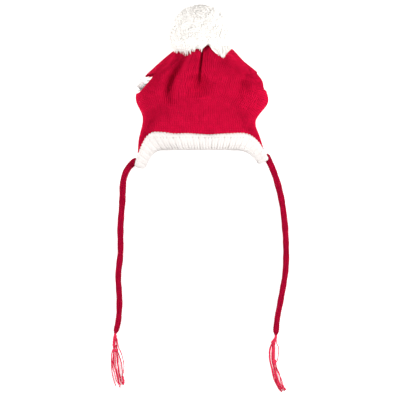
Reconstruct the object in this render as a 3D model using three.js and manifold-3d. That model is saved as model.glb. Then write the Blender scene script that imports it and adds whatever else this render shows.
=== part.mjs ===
// A knitted holiday hat for a small dog, lying on its back as it would on a table.
// The hood is one fine-knit bag, gathered at the top under a yarn ball, with a slit at each side
// for an ear. A thick ribbed band runs round the mouth, a narrow band round each slit, and a
// knitted tie with a yarn tassel leaves each cheek point. Millimetres, +Z up from the table,
// +Y from the mouth towards the yarn ball, +X to the right of the face side.
import * as THREE from "three";
import { ConvexGeometry } from "three/addons/geometries/ConvexGeometry.js";
import { mergeVertices } from "three/addons/utils/BufferGeometryUtils.js";
import Module from "manifold-3d";

const wasm = await Module();
wasm.setup();

// Driving sizes
const gap = 0.35; // between pieces that meet
const hoodWall = 2.2; // fine knit
const bandThick = 6.6; // mouth band at a rib's crest
const ribDepth = 1.5; // from a rib's crest down to the furrow beside it
const ribsOnFace = 26;
const ribsOnBack = 24;
const foldShare = 0.27; // height of the side folds, as a share of the hood's height there
const gatherPuckers = 13; // small folds all round the neck
const puckerHeight = 1.5;
const cuffThick = 3.4;
const ballRadius = 31.4; // yarn ball to the tips of its locks
const lockCount = 150;
const lockHeight = 4.6; // from a lock's tip down to the hollows round it
const ballMiddle = new THREE.Vector3(-1, 51.5, 29);
const ballUnderside = 15; // from the ball's middle to its side that sits on the hood
const peakAt = 6.3; // where the hood's middle fold rises into the ball, and by how much
const peakHeight = 6.5;
const tieRadius = 3.1;
const yarnRadius = 1.3; // of one lock of a tassel
// The middle of the hat's own outline, in the drawing below, is the part's origin.
const outlineMiddle = new THREE.Vector3(0, 0.2, 0);

// The hood's cross rows from the mouth to the gather: the points where a row meets the left and
// right fold, the height in plan of its middle, the share of its half width that the bend to
// each fold takes, and the heights of its roof and of its underside above the table. An underside
// below 0 is pressed flat.
const rows = [
  { at: "mouth edge", left: [-57.2, -81.6], right: [58.6, -77.0], middle: -61.8,
    bend: [0.32, 0.42], roof: 29, under: 0 },
  { at: "band's top edge", left: [-66.4, -76.0], right: [65.8, -69.0], middle: -45.2,
    bend: [0.33, 0.4], roof: 32, under: 2.4 },
  { at: "hood's edge", left: [-63.2, -65.0], right: [62.2, -63.0], middle: -44.8,
    bend: [0.27, 0.35], roof: 32.4, under: 2.2 },
  { at: "cheek", left: [-61.8, -52.1], right: [57.9, -50.8], middle: -31,
    bend: [0.45, 0.5], roof: 36, under: -0.6 },
  { at: "waist", left: [-57.3, -30.4], right: [53.0, -33.0], middle: -17,
    bend: [0.6, 0.6], roof: 40, under: -0.6 },
  { at: "bulge", left: [-63.8, -13.6], right: [64.4, -13.4], middle: -4,
    bend: [0.8, 0.8], roof: 43, under: -0.6 },
  { at: "slit foot", left: [-64.6, -5.8], right: [64.2, -2.8], middle: 2,
    bend: [0.9, 0.9], roof: 44.5, under: -0.6 },
  { at: "slit middle", left: [-60.5, 5.6], right: [64.2, 6.2], middle: 10.5,
    bend: [1, 1], roof: 46, under: -0.6 },
  { at: "slit head", left: [-52.2, 15.4], right: [55.4, 15.2], middle: 17.5,
    bend: [1, 1], roof: 47, under: 0.5 },
  { at: "slope", left: [-40.5, 25.2], right: [42.8, 25.5], middle: 25.8,
    bend: [1, 1], roof: 47.5, under: 2.5 },
  { at: "under the ball", left: [-26.5, 36.2], right: [30.0, 38.4], middle: 35.6,
    bend: [1, 1], roof: 47, under: 7.5 },
  { at: "neck", left: [-15.5, 41.2], right: [20.0, 42.4], middle: 41.4,
    bend: [1, 1], roof: 42.5, under: 14.5 },
  { at: "gather", left: [-5.5, 43.4], right: [13.5, 43.4], middle: 44.6,
    bend: [1, 1], roof: 34.5, under: 22 },
];
const bandTop = 1;
const hoodEdge = 2;
const slitFoot = 6;
const slitHead = 8;
const lastRow = rows.length - 1;

// Creases of the face side: the points that a valley runs through in plan from the ball
// towards the mouth, its depth at the start, and its width on the left and on the right of it.
// A negative depth is a raised ridge.
const creases = [
  { at: "left pleat", path: [[-13, 46], [-21, 26], [-29, 8], [-34, -13]], depth: 13, left: 7, right: 4 },
  { at: "middle pleat", path: [[1.5, 46], [0, 28], [-2, 5]], depth: 12, left: 5, right: 2.6 },
  { at: "middle ridge", path: [[-5.5, 44], [-10, 26], [-17, 4], [-20, -16]],
    depth: -3.5, left: 6, right: 5 },
  { at: "right ridge", path: [[12, 44], [14, 20], [18, -10]], depth: -2.5, left: 9, right: 9 },
  { at: "right dent", path: [[54, 13], [44, 2], [30, -14]], depth: 6, left: 7, right: 11 },
  { at: "right slope crease", path: [[26, 38], [34, 28], [44, 18]], depth: 3, left: 3, right: 3 },
];

// The two slits: how far the middle of the face side's edge and of the back's is drawn away from
// the fold line, the share of the layer's width that this pull reaches, and the width and the
// way out of the cuff on each edge.
const slits = {
  left: {
    face: { pull: [6.4, -1.5, 17], reach: 0.3, wide: 4.4, way: [0.15, 0.1, -1] },
    back: { pull: [5.6, 0.3, -4.5], reach: 0.3, wide: 7.2, way: [-0.72, 0.35, 0.6] },
  },
  right: {
    face: { pull: [-5.6, 0.2, 15.5], reach: 0.3, wide: 4.2, way: [-0.15, 0.1, -1] },
    back: { pull: [-6.0, 0.4, -3], reach: 0.09, wide: 4.4, way: [-0.2, 0.2, 1] },
  },
};

// The points in plan that each tie runs through, from the cheek point to its tassel.
const ties = {
  left: [[-64.5, -71.3], [-73, -79.6], [-77.6, -90.5], [-79.2, -114], [-81, -140], [-81, -165],
    [-83.2, -187], [-82, -212], [-83.2, -233], [-86, -244.9]],
  right: [[64, -66.4], [69.9, -78], [75.4, -93], [80.6, -115], [84, -146], [84.2, -180],
    [79.4, -211], [75.6, -231], [74.3, -246.6]],
};

// The tassels: where the binding's end lies from the tie's end, the way that the locks hang, and
// for each lock how far it bows out at a third of the way, how far off it ends, and its length.
const tassels = {
  left: {
    binding: [0.2, -12.5],
    hang: [2.6, -43],
    locks: [
      { bow: -3.4, end: -2.4, long: 39 },
      { bow: -2.0, end: 0.1, long: 42 },
      { bow: 0.2, end: 1.6, long: 40 },
      { bow: 2.6, end: 3.4, long: 42 },
      { bow: 5.0, end: 4.6, long: 35 },
      { bow: 6.8, end: 5.8, long: 38 },
    ],
  },
  right: {
    binding: [0.0, -9.5],
    hang: [7, -43],
    locks: [
      { bow: -6.2, end: -2.6, long: 41 },
      { bow: -4.2, end: -0.4, long: 44 },
      { bow: -2.2, end: 1.8, long: 43 },
      { bow: -0.4, end: 4.0, long: 42 },
      { bow: 1.4, end: 2.6, long: 36 },
    ],
  },
};
const bindingRadius = [1.5, 2.5, 1.9, 2.7, 2.2]; // knot, waist and second binding of a tassel's head

// Mesh fineness
const faceCells = 40;
const backCells = 12;
const fineSteps = 160;
const tieSteps = 24;
const sliver = 0.1; // edges and slivers up to this size are joined away after a cut

const plan = ([x, y], z = 0) => new THREE.Vector3(x, y, z);

// A smooth curve through the values of one column, at a row number that may lie between rows.
function columnAt(values, t) {
  const k = Math.max(0, Math.min(Math.floor(t), values.length - 2));
  const f = t - k;
  const [a, b, c, d] = [k - 1, k, k + 1, k + 2].map(
    (i) => values[Math.max(0, Math.min(values.length - 1, i))],
  );
  const bow = 2 * a - 5 * b + 4 * c - d;
  return 0.5 * (2 * b + (c - a) * f + bow * f * f + (3 * b - a - 3 * c + d) * f ** 3);
}

function rowAt(t) {
  const pick = (read) => columnAt(rows.map(read), t);
  return {
    left: [pick((r) => r.left[0]), pick((r) => r.left[1])],
    right: [pick((r) => r.right[0]), pick((r) => r.right[1])],
    middle: pick((r) => r.middle),
    bend: [pick((r) => r.bend[0]), pick((r) => r.bend[1])],
    roof: pick((r) => r.roof),
    under: pick((r) => r.under),
  };
}

// One layer of a row from the left fold to the right fold, before the creases. The face layer is
// domed and the back layer lies flat.
function layerLine(t, layer) {
  const row = rowAt(t);
  const fold = row.under + (row.roof - row.under) * foldShare;
  const line = [];
  for (let i = 0; i <= fineSteps; i++) {
    const s = -Math.cos((Math.PI * i) / fineSteps);
    const side = s < 0 ? 0 : 1;
    const end = side ? row.right : row.left;
    const bend = 1 - Math.min(1, (1 - Math.abs(s)) / row.bend[side]);
    const dome = (1 - Math.abs(s) ** 2.3) ** 0.6;
    const flat = (1 - Math.abs(s) ** 7) ** 0.5;
    const z = layer === "face" ? fold + (row.roof - fold) * dome : fold - (fold - row.under) * flat;
    const x = THREE.MathUtils.lerp(row.left[0], row.right[0], (1 + s) / 2);
    line.push(new THREE.Vector3(x, row.middle + (end[1] - row.middle) * bend ** 2.4, z));
  }
  return line;
}

// The same line with its points spaced evenly along it.
function evenly(line, cells) {
  const along = [0];
  for (let i = 1; i < line.length; i++) along.push(along[i - 1] + line[i].distanceTo(line[i - 1]));
  const total = along[along.length - 1];
  const points = [];
  for (let i = 0, k = 1; i <= cells; i++) {
    const at = (total * i) / cells;
    while (k < line.length - 1 && along[k] < at) k++;
    points.push(line[k - 1].clone().lerp(line[k], (at - along[k - 1]) / (along[k] - along[k - 1])));
  }
  return points;
}

// How far a crease moves a point of the face side down. It is deepest at the start of its path
// and fades out at the end.
function creaseDepth(crease, x, y) {
  const point = new THREE.Vector2(x, y);
  let nearest = { off: Infinity, turn: 0, share: 0 };
  crease.path.slice(1).forEach((end, i) => {
    const from = new THREE.Vector2(...crease.path[i]);
    const run = new THREE.Vector2(...end).sub(from);
    const part = THREE.MathUtils.clamp(point.clone().sub(from).dot(run) / run.lengthSq(), 0, 1);
    const foot = from.clone().addScaledVector(run, part);
    const off = foot.distanceTo(point);
    const share = (i + part) / (crease.path.length - 1);
    if (off < nearest.off) nearest = { off, turn: run.cross(point.clone().sub(foot)), share };
  });
  const wide = nearest.turn > 0 ? crease.right : crease.left;
  return crease.depth * Math.exp(-((nearest.off / wide) ** 2)) * (1 - nearest.share ** 1.6);
}

// One row as a closed ring: over the face side from the left fold to the right, and home along
// the back. With it come each point's layer and its share of the way from left to right.
function ringAt(t, onFace, onBack) {
  const lineOf = (layer, cells) =>
    evenly(layerLine(t, layer), cells).map((p, i) => ({ p, layer, share: i / cells }));
  const ring = [...lineOf("face", onFace), ...lineOf("back", onBack).slice(1, -1).reverse()];
  const nearGather = THREE.MathUtils.smoothstep(t, slitHead, lastRow - 1);
  const endFade = 1 - THREE.MathUtils.smoothstep(t, lastRow - 1.7, lastRow);
  for (const { p, layer, share } of ring) {
    const [x, y] = [p.x, p.y];
    const edgeFade = Math.min(1, 8 * share * (1 - share));
    if (layer === "face")
      for (const crease of creases) p.z -= creaseDepth(crease, x, y) * edgeFade * endFade;
    const round = layer === "face" ? share : 2 - share;
    const rise = 0.6 * Math.sin(Math.PI * share) * (layer === "face" ? 1 : -1);
    const away = new THREE.Vector3(2 * share - 1, 0, rise).normalize();
    p.addScaledVector(away, puckerHeight * nearGather * Math.cos(Math.PI * gatherPuckers * round));
    p.z = Math.max(p.z, 0);
  }
  return ring;
}

// Rings whose points stand a distance inside the hood's skin, or outside it where it is negative.
function ringsInside(numbers, onFace, onBack, distance) {
  const rings = numbers.map((t) => ringAt(t, onFace, onBack));
  return rings.map((ring, j) =>
    ring.map(({ p, layer, share }, i) => {
      const before = ring[(i + ring.length - 1) % ring.length].p;
      const along = ring[(i + 1) % ring.length].p.clone().sub(before);
      const next = rings[Math.min(j + 1, rings.length - 1)][i].p;
      const across = next.clone().sub(rings[Math.max(j - 1, 0)][i].p);
      const out = along.cross(across).normalize();
      return { p: p.clone().addScaledVector(out, -distance), layer, share };
    }),
  );
}

// How far a slit moves a point of one layer, at a row number and a share of the way across.
function slitShift(t, layer, share) {
  const open = THREE.MathUtils.clamp((t - slitFoot) / (slitHead - slitFoot), 0, 1);
  const atRim = 2 * Math.sqrt(open * (1 - open));
  const beyond = Math.exp(-(((t - (slitFoot + slitHead) / 2) / 1.1) ** 2));
  const shift = new THREE.Vector3();
  for (const [slit, fromFold] of [[slits.left, share], [slits.right, 1 - share]]) {
    const { pull, reach } = slit[layer];
    const hold = Math.max(0, 1 - fromFold / reach) ** 2;
    const near = Math.max(0, 1 - fromFold / 0.09);
    shift.addScaledVector(new THREE.Vector3(...pull), hold * THREE.MathUtils.lerp(beyond, atRim, near));
  }
  return shift;
}

// Rings as two sheets, a face and a back, that part at the folds where the slits are.
function sheets(rings, numbers, onFace, inset) {
  const sheet = (layer, pick) =>
    rings.map((ring, j) =>
      pick(ring).map(({ p, share }) => {
        const q = p.clone().add(slitShift(numbers[j], layer, share));
        return q.setZ(Math.max(q.z, inset));
      }),
    );
  return {
    face: sheet("face", (ring) => ring.slice(0, onFace + 1)),
    back: sheet("back", (ring) => [ring[0], ...ring.slice(onFace).reverse()]),
  };
}

// Triangles from quads and fans, gathered into one closed geometry with shared corners.
class Skin {
  constructor() {
    this.corners = [];
  }
  triangle(a, b, c) {
    for (const p of [a, b, c]) this.corners.push(p.x, p.y, p.z);
  }
  quad(a, b, c, d) {
    this.triangle(a, b, c);
    this.triangle(a, c, d);
  }
  grid(points, flip = false) {
    for (let j = 0; j + 1 < points.length; j++)
      for (let i = 0; i + 1 < points[j].length; i++) {
        const [a, b] = [points[j][i], points[j][i + 1]];
        const [c, d] = [points[j + 1][i + 1], points[j + 1][i]];
        if (flip) this.quad(a, d, c, b);
        else this.quad(a, b, c, d);
      }
  }
  // An edge wall from a coarse line to a line with twice as many cells.
  rim(coarse, fine, flip = false) {
    const put = (a, b, c) => (flip ? this.triangle(a, c, b) : this.triangle(a, b, c));
    for (let i = 0; i + 1 < coarse.length; i++) {
      put(coarse[i], fine[2 * i + 1], fine[2 * i]);
      put(coarse[i], coarse[i + 1], fine[2 * i + 1]);
      put(coarse[i + 1], fine[2 * i + 2], fine[2 * i + 1]);
    }
  }
  fan(line) {
    const middle = line.reduce((sum, p) => sum.add(p), new THREE.Vector3()).divideScalar(line.length);
    line.forEach((p, i) => this.triangle(p, line[(i + 1) % line.length], middle));
  }
  geometry() {
    const made = new THREE.BufferGeometry();
    made.setAttribute("position", new THREE.Float32BufferAttribute(this.corners, 3));
    return mergeVertices(made, 1e-3);
  }
}

// A row number at a share of a slit's length, closer together at its ends.
function slitNumber(share) {
  return slitFoot + ((slitHead - slitFoot) * (1 - Math.cos(Math.PI * share))) / 2;
}

// The hood's row numbers, closer together at the ends of the slits, which are round.
function hoodNumbers() {
  const list = [];
  for (let i = 0; i < 9; i++) list.push(hoodEdge + ((slitFoot - hoodEdge) * i) / 9);
  for (let i = 0; i < 8; i++) list.push(slitNumber(i / 8));
  for (let i = 0; i <= 8; i++) list.push(slitHead + ((lastRow - slitHead) * i) / 8);
  return list;
}

// A bag with an outer and a coarser inner skin, joined round the mouth and round the slits, and
// grown by a margin on both skins.
function hoodGeometry(margin) {
  const numbers = hoodNumbers();
  const outer = sheets(ringsInside(numbers, faceCells, backCells, -margin), numbers, faceCells, 0);
  const innerRings = ringsInside(numbers, faceCells, backCells, hoodWall + margin);
  innerRings.forEach((ring, j) => {
    const close = hoodWall * THREE.MathUtils.smoothstep(numbers[j], lastRow - 3, lastRow);
    for (const { p } of ring) p.y -= close;
  });
  const inner = sheets(innerRings, numbers, faceCells, hoodWall);
  for (const layer of ["face", "back"])
    inner[layer] = inner[layer].map((line) => line.filter((_, i) => i % 2 === 0));
  const made = new Skin();
  made.grid(outer.face);
  made.grid(outer.back, true);
  made.grid(inner.face, true);
  made.grid(inner.back);
  made.rim(inner.face[0], outer.face[0]);
  made.rim(inner.back[0], outer.back[0], true);
  made.fan([...outer.face.at(-1), ...outer.back.at(-1).slice(1, -1).reverse()]);
  made.fan([...inner.back.at(-1), ...inner.face.at(-1).slice(1, -1).reverse()]);
  for (let j = 0; j + 1 < numbers.length; j++) {
    if (numbers[j + 1] <= slitFoot || numbers[j] >= slitHead) continue;
    for (const end of [0, -1]) {
      const at = (lines, k) => lines[k].at(end);
      const face = [at(outer.face, j), at(outer.face, j + 1), at(inner.face, j + 1), at(inner.face, j)];
      const back = [at(inner.back, j), at(inner.back, j + 1), at(outer.back, j + 1), at(outer.back, j)];
      for (const wall of [face, back]) made.quad(...(end === 0 ? wall : wall.reverse()));
    }
  }
  return made.geometry();
}

// A closed ring of sections, each a ring of points.
function ringGeometry(sections) {
  const made = new Skin();
  made.grid([...sections, sections[0]].map((s) => [...s, s[0]]));
  return made.geometry();
}

// A section of a soft band: a rounded oblong between two edge points, standing on a normal.
function bandSection(low, high, normal, thick, corners) {
  const middle = low.clone().lerp(high, 0.5);
  const across = high.clone().sub(low).multiplyScalar(0.5);
  const round = (v, power) => Math.sign(v) * Math.abs(v) ** power;
  return Array.from({ length: corners }, (_, k) => {
    const turn = (2 * Math.PI * (k + 0.5)) / corners;
    const p = middle.clone().addScaledVector(across, round(Math.cos(turn), 0.6));
    return p.addScaledVector(normal, (thick / 2) * round(Math.sin(turn), 0.75));
  });
}

// The mouth band, grown all round by a margin. It lies between the first two rows and its ribs
// cross it. The hood's skin meets the middle of its upper edge.
function bandGeometry(margin) {
  const [onFace, onBack] = [2 * ribsOnFace, 2 * ribsOnBack];
  const numbers = [0, bandTop / 2, bandTop];
  const low = ringsInside(numbers, onFace, onBack, bandThick / 2)[0];
  const high = ringsInside(numbers, onFace, onBack, 0)[2];
  const count = low.length;
  const sections = low.map(({ p }, i) => {
    const before = (i + count - 1) % count;
    const after = (i + 1) % count;
    const along = low[after].p.clone().add(high[after].p).sub(low[before].p).sub(high[before].p);
    const across = high[i].p.clone().sub(p);
    const normal = along.cross(across).normalize();
    across.normalize();
    const furrow = i % 2 ? ribDepth : 0;
    const top = high[i].p.clone().addScaledVector(across, margin - furrow / 4);
    const foot = p.clone().addScaledVector(across, furrow / 4 - margin);
    return bandSection(foot, top, normal, bandThick - furrow + 2 * margin, 8);
  });
  for (const section of sections) for (const p of section) p.z = Math.max(p.z, 0);
  return ringGeometry(sections);
}

function solidOf(geometry) {
  return new wasm.Manifold(
    new wasm.Mesh({
      numProp: 3,
      vertProperties: new Float32Array(geometry.getAttribute("position").array),
      triVerts: new Uint32Array(geometry.index.array),
    }),
  );
}

// The mesh of a cut solid, with the slivers that the cuts left along their edges joined away.
function geometryOf(solid) {
  const mesh = solid.asOriginal().simplify(sliver).getMesh();
  const made = new THREE.BufferGeometry();
  made.setAttribute("position", new THREE.Float32BufferAttribute(mesh.vertProperties, 3));
  made.setIndex(new THREE.BufferAttribute(mesh.triVerts, 1));
  return made;
}

// The band round one ear slit. It starts just off the hood's rim. Each link between two sections
// is a convex solid, so the links can cross where the rim turns sharply at the slit's ends.
function cuffSolid(side) {
  const steps = 12;
  const numbers = Array.from({ length: steps + 1 }, (_, i) => slitNumber(i / steps));
  const rings = ringsInside(numbers, faceCells, backCells, hoodWall / 2);
  const { face, back } = sheets(rings, numbers, faceCells, 0);
  const end = side === "left" ? 0 : -1;
  const rim = { face: face.map((line) => line.at(end)), back: back.map((line) => line.at(end)) };
  const centre = rim.face[steps / 2].clone().lerp(rim.back[steps / 2], 0.5);
  const loop = [];
  for (let i = 0; i < steps; i++) loop.push({ layer: "face", i });
  for (let i = steps; i > 0; i--) loop.push({ layer: "back", i });
  const sections = loop.map(({ layer, i }, k) => {
    const p = rim[layer][i];
    const before = loop[(k + loop.length - 1) % loop.length];
    const after = loop[(k + 1) % loop.length];
    const along = rim[after.layer][after.i].clone().sub(rim[before.layer][before.i]).normalize();
    const share = Math.sin((Math.PI * i) / steps) ** 0.7;
    const turned = new THREE.Vector3(...slits[side][layer].way).normalize();
    const way = centre.clone().sub(p).normalize().lerp(turned, share);
    way.addScaledVector(along, -way.dot(along)).normalize();
    const normal = along.clone().cross(way).normalize();
    const wide = THREE.MathUtils.lerp(slits[side].face.wide, slits[side][layer].wide, share);
    const low = p.clone().addScaledVector(way, gap + 0.4);
    return bandSection(low, p.clone().addScaledVector(way, wide), normal, cuffThick, 8);
  });
  const links = sections.map((section, k) => {
    const next = sections[(k + 1) % sections.length];
    return wasm.Manifold.hull([...section, ...next].map((p) => p.toArray()));
  });
  return wasm.Manifold.union(links);
}

// A tube of round sections along a smooth curve, with a radius that may change along it.
function tubeGeometry(points, radiusAt, steps, sides) {
  const curve = new THREE.CatmullRomCurve3(points, false, "centripetal");
  const frames = curve.computeFrenetFrames(steps, false);
  const rings = [];
  for (let j = 0; j <= steps; j++) {
    const middle = curve.getPointAt(j / steps);
    const radius = radiusAt(j / steps);
    rings.push(
      Array.from({ length: sides }, (_, k) => {
        const turn = (2 * Math.PI * k) / sides;
        const side = middle.clone().addScaledVector(frames.normals[j], radius * Math.cos(turn));
        return side.addScaledVector(frames.binormals[j], radius * Math.sin(turn));
      }),
    );
  }
  const made = new Skin();
  made.grid(rings.map((r) => [...r, r[0]]));
  made.fan([...rings[0]].reverse());
  made.fan(rings[steps]);
  return made.geometry();
}

// The room that the hood's top takes in the yarn ball: its outer skin, let out by the gap.
function hoodTopRoom() {
  const numbers = Array.from({ length: 8 }, (_, i) => lastRow - 3.5 + i / 2);
  const rings = ringsInside(numbers, faceCells, backCells, -gap - 0.15);
  rings.forEach((ring, j) => {
    const lift = (gap + 0.15) * THREE.MathUtils.smoothstep(numbers[j], lastRow - 2, lastRow);
    for (const { p } of ring) p.y += lift;
  });
  const lines = rings.map((ring) => ring.map(({ p }) => p));
  const made = new Skin();
  made.grid(lines.map((line) => [...line, line[0]]));
  made.fan([...lines[0]].reverse());
  made.fan(lines.at(-1));
  return made.geometry();
}

// The yarn ball: a body wholly covered with pointed locks, pressed flat on the table and squashed
// where it sits on the hood. The hood's middle fold rises into its edge. The locks' tips are
// spread by the golden angle, and each triangle of neighbouring tips has a hollow in its middle.
function ballSolid() {
  const golden = Math.PI * (3 - Math.sqrt(5));
  const tips = Array.from({ length: lockCount }, (_, i) => {
    const up = 1 - (2 * (i + 0.5)) / lockCount;
    const flat = Math.sqrt(1 - up * up);
    return new THREE.Vector3(flat * Math.cos(golden * i), up, flat * Math.sin(golden * i));
  });
  const place = new ConvexGeometry(tips).getAttribute("position");
  const tipAt = (way) => {
    const wave = Math.sin(9 * way.x + 13 * way.y + 11 * way.z);
    const lean = new THREE.Vector3(way.y, way.z, way.x).multiplyScalar(0.06 * wave);
    return way.clone().add(lean).setLength(ballRadius - 0.7 * (1 + wave));
  };
  const made = new Skin();
  for (let k = 0; k < place.count; k += 3) {
    const [a, b, c] = [0, 1, 2].map((i) => new THREE.Vector3().fromBufferAttribute(place, k + i));
    const hollow = a.clone().add(b).add(c).setLength(ballRadius - lockHeight);
    for (const [p, q] of [[a, b], [b, c], [c, a]]) {
      const saddle = p.clone().add(q).setLength(ballRadius - 0.55 * lockHeight);
      made.triangle(tipAt(p), saddle, hollow);
      made.triangle(saddle, tipAt(q), hollow);
    }
  }
  const ball = solidOf(made.geometry()).translate(...ballMiddle).warp((v) => {
    const below = (ballMiddle.y - v[1]) / ballRadius;
    const notch = v[2] > ballMiddle.z ? peakHeight * Math.exp(-(((v[0] - peakAt) / 5) ** 2)) : 0;
    if (below > 0) v[1] = ballMiddle.y - (ballUnderside - notch) * (1 - (1 - Math.min(1, below)) ** 3.5);
  });
  return ball.trimByPlane([0, 0, 1], 0);
}

// A knitted tie along its route, which climbs from the table to the cheek point.
function tieSolid(side) {
  const route = ties[side].map((p, i) => plan(p, tieRadius + 0.1 + 2.4 * Math.max(0, 1 - i / 2)));
  const section = new THREE.Shape();
  section.absarc(0, 0, tieRadius, 0, 2 * Math.PI, false);
  const made = new THREE.ExtrudeGeometry(section, {
    steps: tieSteps,
    curveSegments: 4,
    bevelEnabled: false,
    extrudePath: new THREE.CatmullRomCurve3(route, false, "centripetal"),
  });
  for (const name of ["normal", "uv"]) made.deleteAttribute(name);
  return solidOf(mergeVertices(made, 1e-3));
}

// A tassel: the bound head that ends the tie, and its locks of yarn.
function tasselSolid(side) {
  const { binding, hang, locks } = tassels[side];
  const end = plan(ties[side].at(-1));
  const way = end.clone().sub(plan(ties[side].at(-2))).normalize();
  const foot = end.clone().add(plan(binding));
  const head = [
    end.clone().addScaledVector(way, gap).setZ(3.2),
    end.clone().addScaledVector(way, 4).setZ(3.2),
    foot.clone().setZ(2.9),
  ];
  const last = bindingRadius.length - 1;
  const parts = [solidOf(tubeGeometry(head, (f) => columnAt(bindingRadius, last * f), 8, 7))];
  const down = plan(hang).normalize();
  const aside = new THREE.Vector3(-down.y, down.x, 0);
  locks.forEach(({ bow, end: off, long }, i) => {
    const at = (share, out, z) =>
      foot.clone().addScaledVector(down, long * share).addScaledVector(aside, out).setZ(z);
    const lift = 0.9 * (i % 3);
    const route = [
      at(-0.04, 0.1 * bow, 2.9),
      at(0.14, 0.6 * bow, 2.3 + lift),
      at(0.36, bow, 1.5 + lift),
      at(0.7, 0.4 * bow + 0.6 * off, 1.4 + lift),
      at(1, off, 1.4 + 0.5 * lift),
    ];
    parts.push(solidOf(tubeGeometry(route, (f) => yarnRadius * (1.1 - 0.2 * f), 6, 5)));
  });
  return wasm.Manifold.union(parts);
}

function material(colour, roughness) {
  return new THREE.MeshStandardMaterial({ color: colour, roughness, metalness: 0, flatShading: true });
}
const redKnit = material("#c8102e", 0.9);
const whiteKnit = material("#f7f1ec", 0.92);
const whiteYarn = material("#faf6f0", 0.95);
const redYarn = material("#b3142f", 0.9);

const hat = new THREE.Group();
hat.name = "dog_santa_hat";
function add(name, geometry, look) {
  const mesh = new THREE.Mesh(geometry, look);
  mesh.name = name;
  mesh.position.copy(outlineMiddle).negate();
  hat.add(mesh);
}

const roomForBand = solidOf(bandGeometry(gap));
const hoodParts = solidOf(hoodGeometry(0)).subtract(roomForBand).decompose();
hoodParts.sort((a, b) => b.volume() - a.volume());
add("crown", geometryOf(hoodParts[0]), redKnit);
add("brim", bandGeometry(0), whiteKnit);
const roomForHood = solidOf(hoodGeometry(gap));
for (const side of ["left", "right"])
  add(`ear_cuff_${side}`, geometryOf(cuffSolid(side).subtract(roomForHood)), whiteKnit);
add("pompom", geometryOf(ballSolid().subtract(solidOf(hoodTopRoom()))), whiteYarn);
for (const side of ["left", "right"]) {
  add(`tie_${side}`, geometryOf(tieSolid(side).subtract(roomForBand)), redYarn);
  add(`tassel_${side}`, geometryOf(tasselSolid(side)), redYarn);
}

export default hat;
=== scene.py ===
# %% [markdown]
# # Dressing a knitted holiday hat for a small dog
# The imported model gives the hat's solids: a gathered hood, a ribbed band, two ear cuffs, a yarn
# ball and two ties with tassels. Each solid is stood for here by a finer surface worked out with
# numpy from the same rows and routes, so that stitches, ribs and single yarns are real shape.
# %% Load the frame
import math

import bmesh
import bpy
import numpy as np
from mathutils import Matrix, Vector


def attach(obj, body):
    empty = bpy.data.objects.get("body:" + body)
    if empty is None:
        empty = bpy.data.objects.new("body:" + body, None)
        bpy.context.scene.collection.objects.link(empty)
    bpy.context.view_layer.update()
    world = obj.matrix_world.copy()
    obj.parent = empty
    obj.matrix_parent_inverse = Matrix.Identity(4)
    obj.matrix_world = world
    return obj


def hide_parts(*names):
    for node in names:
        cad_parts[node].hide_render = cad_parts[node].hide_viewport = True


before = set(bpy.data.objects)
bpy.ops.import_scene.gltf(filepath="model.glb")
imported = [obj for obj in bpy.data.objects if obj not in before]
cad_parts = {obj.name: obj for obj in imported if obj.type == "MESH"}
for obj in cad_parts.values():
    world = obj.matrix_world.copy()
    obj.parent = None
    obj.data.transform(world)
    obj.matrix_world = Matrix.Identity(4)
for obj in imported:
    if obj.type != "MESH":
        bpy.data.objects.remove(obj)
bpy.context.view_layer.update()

print("nodes:", ", ".join(sorted(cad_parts)))

# %% [markdown]
# The hat lies on its back and is looked at from straight above. A camera far away with a long
# lens draws near and far parts almost at one scale, as a catalogue picture does. The lens is
# chosen so that one pixel is one millimetre on the table.
# %% Camera
mm = 0.001


def add_object(name, data):
    """A new object at the origin of the scene, which shows the data."""
    made = bpy.data.objects.new(name, data)
    bpy.context.scene.collection.objects.link(made)
    return made


picture = 400
sensor = 36
camera_height = 6.0
camera_data = bpy.data.cameras.new("camera")
camera_data.sensor_width = sensor
camera_data.lens = sensor * camera_height / (picture * mm)
camera_data.clip_end = 10 * camera_height
camera = add_object("camera", camera_data)
camera.location = (-0.0015, -0.1120, camera_height)
bpy.context.scene.camera = camera
print("lens:", round(camera_data.lens), "mm")

# %% [markdown]
# Every surface below is a grid of points. A grid has rows and columns, its faces are found by
# counting, and whole arrays go into the mesh in one step. Points are in millimetres until then.
# %% Grids into meshes
def grid_faces(shape, first=0, ring=False, loop=False, flip=False):
    """Quads between neighbours of a grid of points that is numbered row by row from first.
    A ring joins the last column to the first one, and a loop the last row to the first one."""
    rows, columns = shape
    number = first + np.arange(rows * columns).reshape(rows, columns)
    if ring:
        number = np.concatenate([number, number[:, :1]], axis=1)
    if loop:
        number = np.concatenate([number, number[:1]])
    a, b, c, d = number[:-1, :-1], number[:-1, 1:], number[1:, 1:], number[1:, :-1]
    quads = np.stack([a, b, c, d], axis=-1).reshape(-1, 4)
    return quads[:, ::-1] if flip else quads


def fan_faces(line, middle, flip=False):
    """Triangles from a closed line of points to one in its middle."""
    made = np.stack([line, np.roll(line, -1), np.full(len(line), middle)], 1)
    return made[:, ::-1] if flip else made


def pairs(across, along):
    """Own coordinates for the stitches: a count across and a count along for each point."""
    return np.stack(np.broadcast_arrays(across, along), axis=-1).reshape(-1, 2)


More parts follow.
